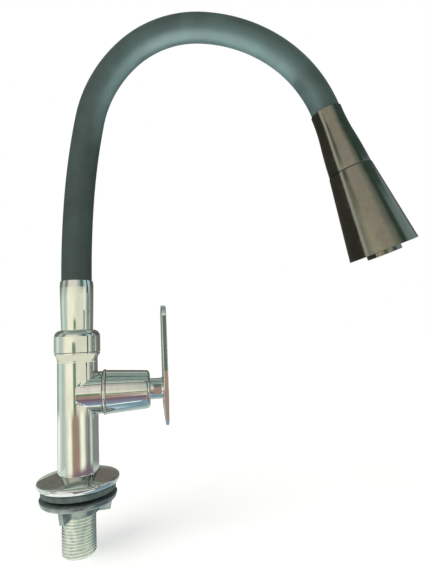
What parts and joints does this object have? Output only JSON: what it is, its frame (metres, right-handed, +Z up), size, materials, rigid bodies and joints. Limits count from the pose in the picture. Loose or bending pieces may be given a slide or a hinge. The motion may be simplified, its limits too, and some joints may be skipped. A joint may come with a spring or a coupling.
{
  "type": "flexible kitchen tap",
  "caption": "Deck-mounted kitchen tap with a tee body, flat lever, bendable swivel hose spout, flared spray head, base flange and threaded shank with lock nut.",
  "frame": {"origin": "on the tap's upright axis, at the underside of the deck gasket, which is the worktop's top", "axes": "+Z up out of the worktop along the shank and body, +X along the spout's arch towards the spray head, -Y towards the picture's camera"},
  "size_m": [0.2554, 0.0574, 0.3588],
  "materials": {
    "bright_chrome": "mirror chrome plating",
    "plated_thread": "bright plated thread",
    "zinc_nut": "dull die-cast zinc",
    "black_rubber": "matt moulded rubber",
    "grey_silicone": "matt dark grey-green silicone",
    "gooseneck_steel": "plain steel",
    "tube_plastic": "milky flexible plastic",
    "bare_brass": "turned brass",
    "ceramic": "polished ceramic",
    "spring_steel": "plain spring steel",
    "white_plastic": "plain white plastic",
    "gunmetal_plating": "dark mirror plating on plastic",
    "dark_plastic": "dark grey plastic"
  },
  "bodies": {
    "tap": {"threaded_shank": "plated_thread", "base_flange": "bright_chrome", "deck_gasket": "black_rubber", "tee_body": "bright_chrome", "spout_nut": "bright_chrome", "slip_rings": "white_plastic", "headwork_body": "bare_brass", "seat_seal": "black_rubber", "fixed_disc": "ceramic", "bead_ring": "bright_chrome", "bonnet_cover": "bright_chrome"},
    "clamp_washer": {"clamp_washer": "black_rubber"},
    "lock_nut": {"lock_nut": "zinc_nut"},
    "spout": {"swivel_ferrule": "bright_chrome", "spout_o_rings": "black_rubber", "foot_nipple": "bare_brass", "sleeve_1": "grey_silicone", "gooseneck_1": "gooseneck_steel", "water_tube_1": "tube_plastic"},
    "lever": {"spindle": "bare_brass", "moving_disc": "ceramic", "stem_rings": "black_rubber", "spindle_clip": "spring_steel", "lever": "bright_chrome", "lever_screw": "spring_steel", "screw_cap": "bright_chrome"},
    "hose_2": {"sleeve_2": "grey_silicone", "gooseneck_2": "gooseneck_steel", "water_tube_2": "tube_plastic"},
    "hose_3": {"sleeve_3": "grey_silicone", "gooseneck_3": "gooseneck_steel", "water_tube_3": "tube_plastic"},
    "hose_4": {"sleeve_4": "grey_silicone", "gooseneck_4": "gooseneck_steel", "water_tube_4": "tube_plastic"},
    "hose_5": {"sleeve_5": "grey_silicone", "gooseneck_5": "gooseneck_steel", "water_tube_5": "tube_plastic"},
    "hose_6": {"sleeve_6": "grey_silicone", "gooseneck_6": "gooseneck_steel", "water_tube_6": "tube_plastic", "head_nipple": "bare_brass", "head_upper_shell": "gunmetal_plating", "head_core": "dark_plastic", "core_o_ring": "black_rubber", "core_clip": "spring_steel"},
    "head_lower": {"head_lower_shell": "gunmetal_plating", "diverter_plate": "dark_plastic", "face_plate": "dark_plastic", "spray_nubs": "black_rubber", "nozzle_ring": "gunmetal_plating", "aerator": "dark_plastic"}
  },
  "joints": [
    {"name": "nut_slide", "type": "slide", "parent": "tap", "child": "clamp_washer", "axis": [0, 0, -1], "range_m": [0, 0.02]},
    {"name": "nut_turn", "type": "hinge", "parent": "clamp_washer", "child": "lock_nut", "pos_m": [0, 0, -0.005], "axis": [0, 0, -1], "range_deg": [0, 3960]},
    {"name": "lever_turn", "type": "hinge", "parent": "tap", "child": "lever", "pos_m": [0, 0, 0.0602], "axis": [0.9781, 0.2079, 0], "range_deg": [0, 90]},
    {"name": "spout_swivel", "type": "hinge", "parent": "tap", "child": "spout", "pos_m": [0, 0, 0.09], "axis": [0, 0, 1], "continuous": true},
    {"name": "hose_bend_1", "type": "hinge", "parent": "spout", "child": "hose_2", "pos_m": [0.00237, 0, 0.19023], "axis": [0, 1, 0], "range_deg": [-20, 12], "deforming": ["sleeve_1", "water_tube_1", "sleeve_2", "water_tube_2"]},
    {"name": "hose_bend_2", "type": "hinge", "parent": "hose_2", "child": "hose_3", "pos_m": [0.01046, 0, 0.24632], "axis": [0, 1, 0], "range_deg": [-20, 12], "deforming": ["sleeve_3", "water_tube_3"]},
    {"name": "hose_bend_3", "type": "hinge", "parent": "hose_3", "child": "hose_4", "pos_m": [0.03844, 0, 0.2945], "axis": [0, 1, 0], "range_deg": [-20, 12], "deforming": ["sleeve_4", "water_tube_4"]},
    {"name": "hose_bend_4", "type": "hinge", "parent": "hose_4", "child": "hose_5", "pos_m": [0.09098, 0, 0.31101], "axis": [0, 1, 0], "range_deg": [-20, 12], "deforming": ["sleeve_5", "water_tube_5"]},
    {"name": "hose_bend_5", "type": "hinge", "parent": "hose_5", "child": "hose_6", "pos_m": [0.14261, 0, 0.28947], "axis": [0, 1, 0], "range_deg": [-20, 12], "deforming": ["sleeve_6", "water_tube_6"]},
    {"name": "spray_turn", "type": "hinge", "parent": "hose_6", "child": "head_lower", "pos_m": [0.19072, 0.00518, 0.19642], "axis": [0.3215, 0.0655, -0.9447], "range_deg": [0, 90]}
  ],
  "couplings": [
    {"joint": "nut_slide", "follows": "nut_turn", "m_per_rad": 0.00028875}
  ]
}
